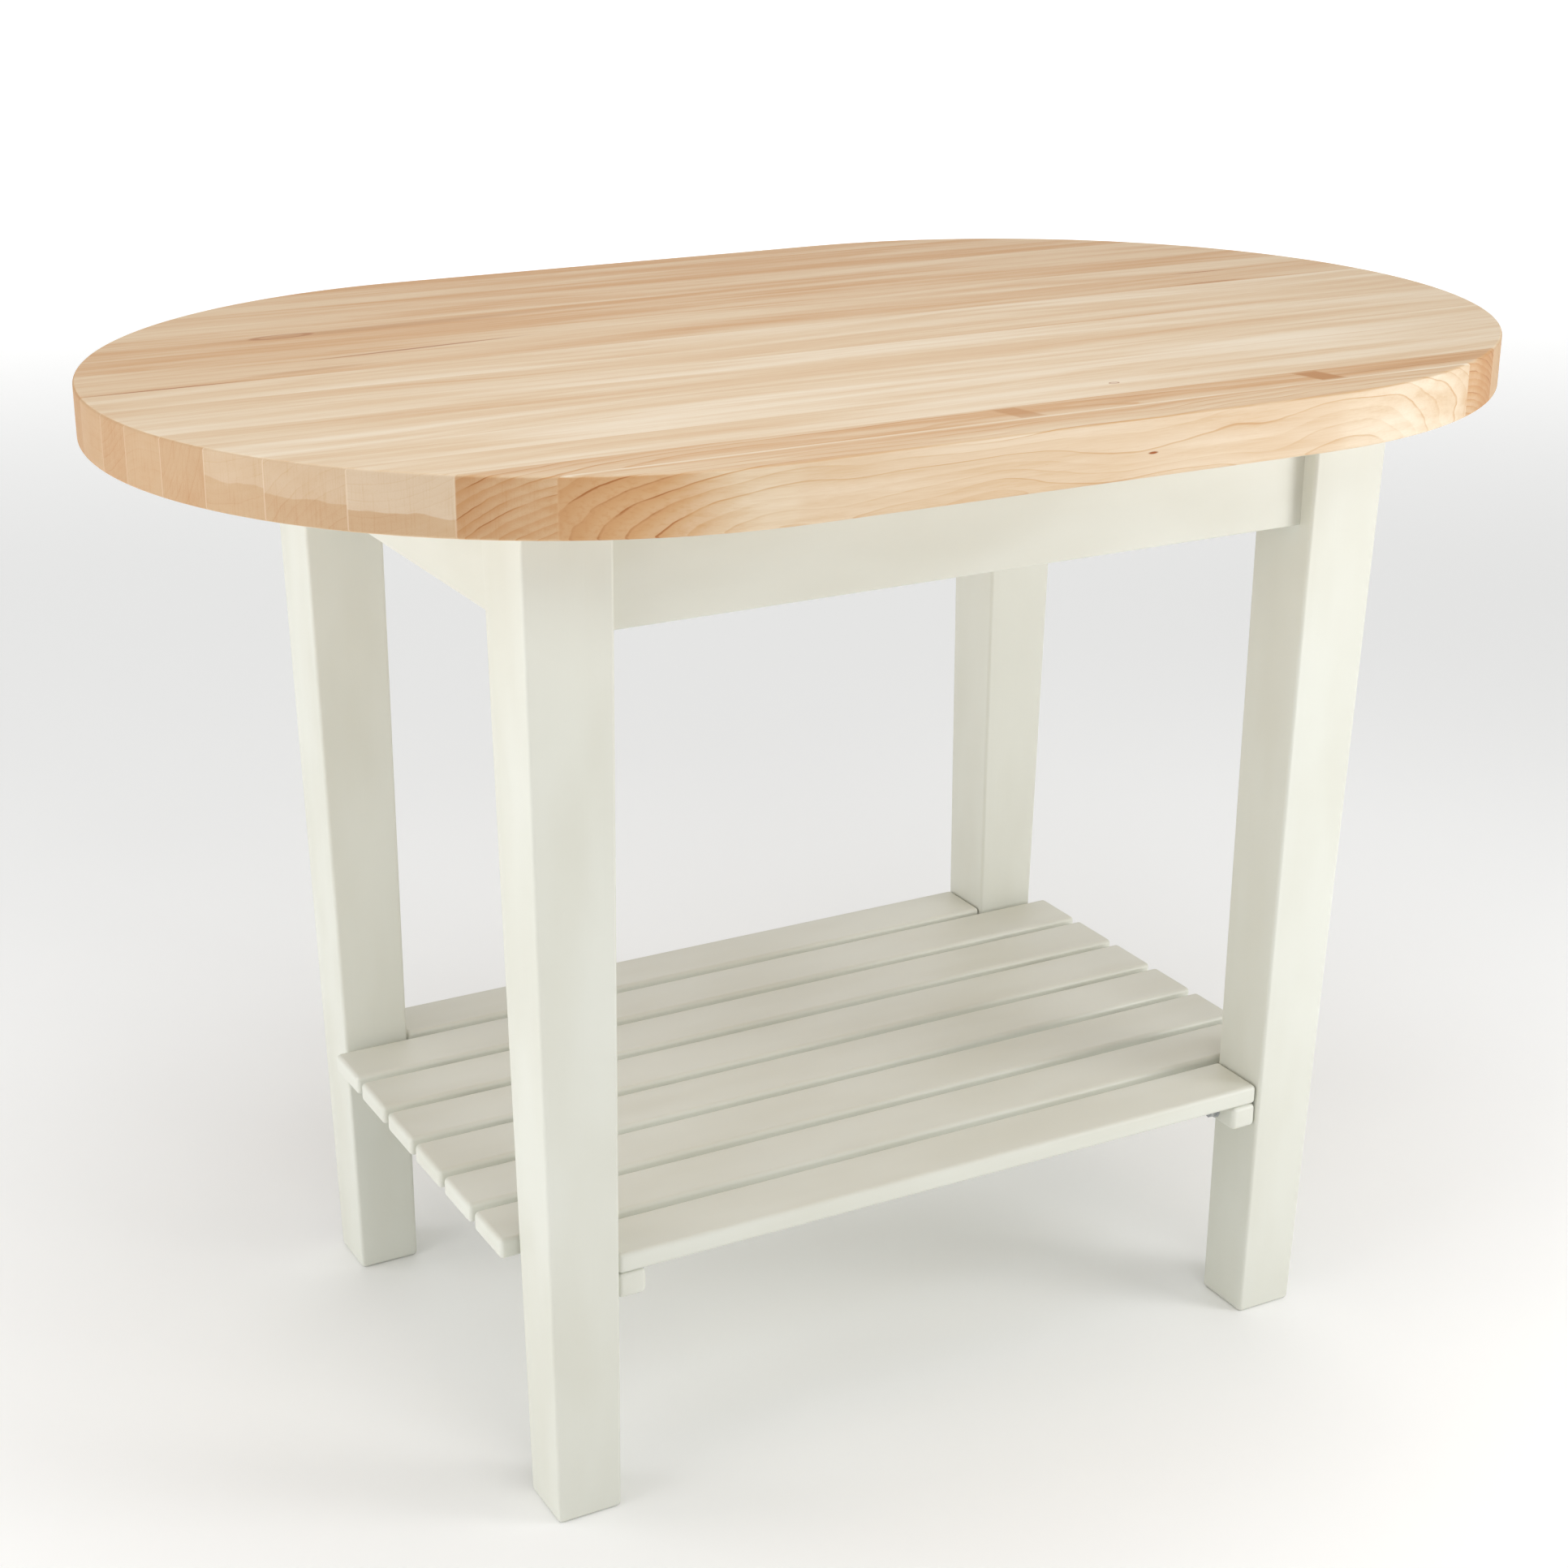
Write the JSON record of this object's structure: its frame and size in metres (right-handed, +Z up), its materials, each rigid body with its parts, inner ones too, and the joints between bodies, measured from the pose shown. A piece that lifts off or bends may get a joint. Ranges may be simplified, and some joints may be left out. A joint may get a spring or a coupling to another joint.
{
  "type": "butcher block table",
  "caption": "Work table with an oval-ended edge-grain wooden top on a painted base with tapered legs and a slatted lower shelf.",
  "frame": {"origin": "on the floor, under the middle of the top", "axes": "+X along the length of the top, towards the right end; +Y from the front to the back; +Z up"},
  "size_m": [1.219, 0.785, 0.892],
  "materials": {
    "maple": "oiled, satin",
    "cream_paint": "cream paint, satin",
    "poplar": "bare, sawn",
    "zinc_steel": "zinc plated"
  },
  "bodies": {
    "root": {"top_stave_01": "maple", "top_stave_02": "maple", "top_stave_03": "maple", "top_stave_04": "maple", "top_stave_05": "maple", "top_stave_06": "maple", "top_stave_07": "maple", "top_stave_08": "maple", "top_stave_09": "maple", "top_stave_10": "maple", "top_stave_11": "maple", "top_stave_12": "maple", "top_stave_13": "maple", "top_stave_14": "maple", "top_stave_15": "maple", "top_stave_16": "maple", "top_stave_17": "maple", "leg_front_left": "cream_paint", "leg_front_right": "cream_paint", "leg_back_left": "cream_paint", "leg_back_right": "cream_paint", "apron_front": "cream_paint", "apron_back": "cream_paint", "apron_left": "cream_paint", "apron_right": "cream_paint", "corner_block_front_left": "poplar", "corner_block_front_right": "poplar", "corner_block_back_left": "poplar", "corner_block_back_right": "poplar", "shelf_slat_1": "cream_paint", "shelf_slat_2": "cream_paint", "shelf_slat_3": "cream_paint", "shelf_slat_4": "cream_paint", "shelf_slat_5": "cream_paint", "shelf_slat_6": "cream_paint", "shelf_slat_7": "cream_paint", "shelf_slat_8": "cream_paint", "shelf_cleat_left": "cream_paint", "shelf_cleat_right": "cream_paint", "leg_hanger_bolts": "zinc_steel", "leg_bolt_washers": "zinc_steel", "leg_bolt_nuts": "zinc_steel", "corner_block_screws": "zinc_steel", "top_brackets": "zinc_steel", "top_bracket_screws": "zinc_steel", "slat_screws": "zinc_steel", "cleat_bolts": "zinc_steel", "cleat_bolt_washers": "zinc_steel"}
  },
  "joints": []
}
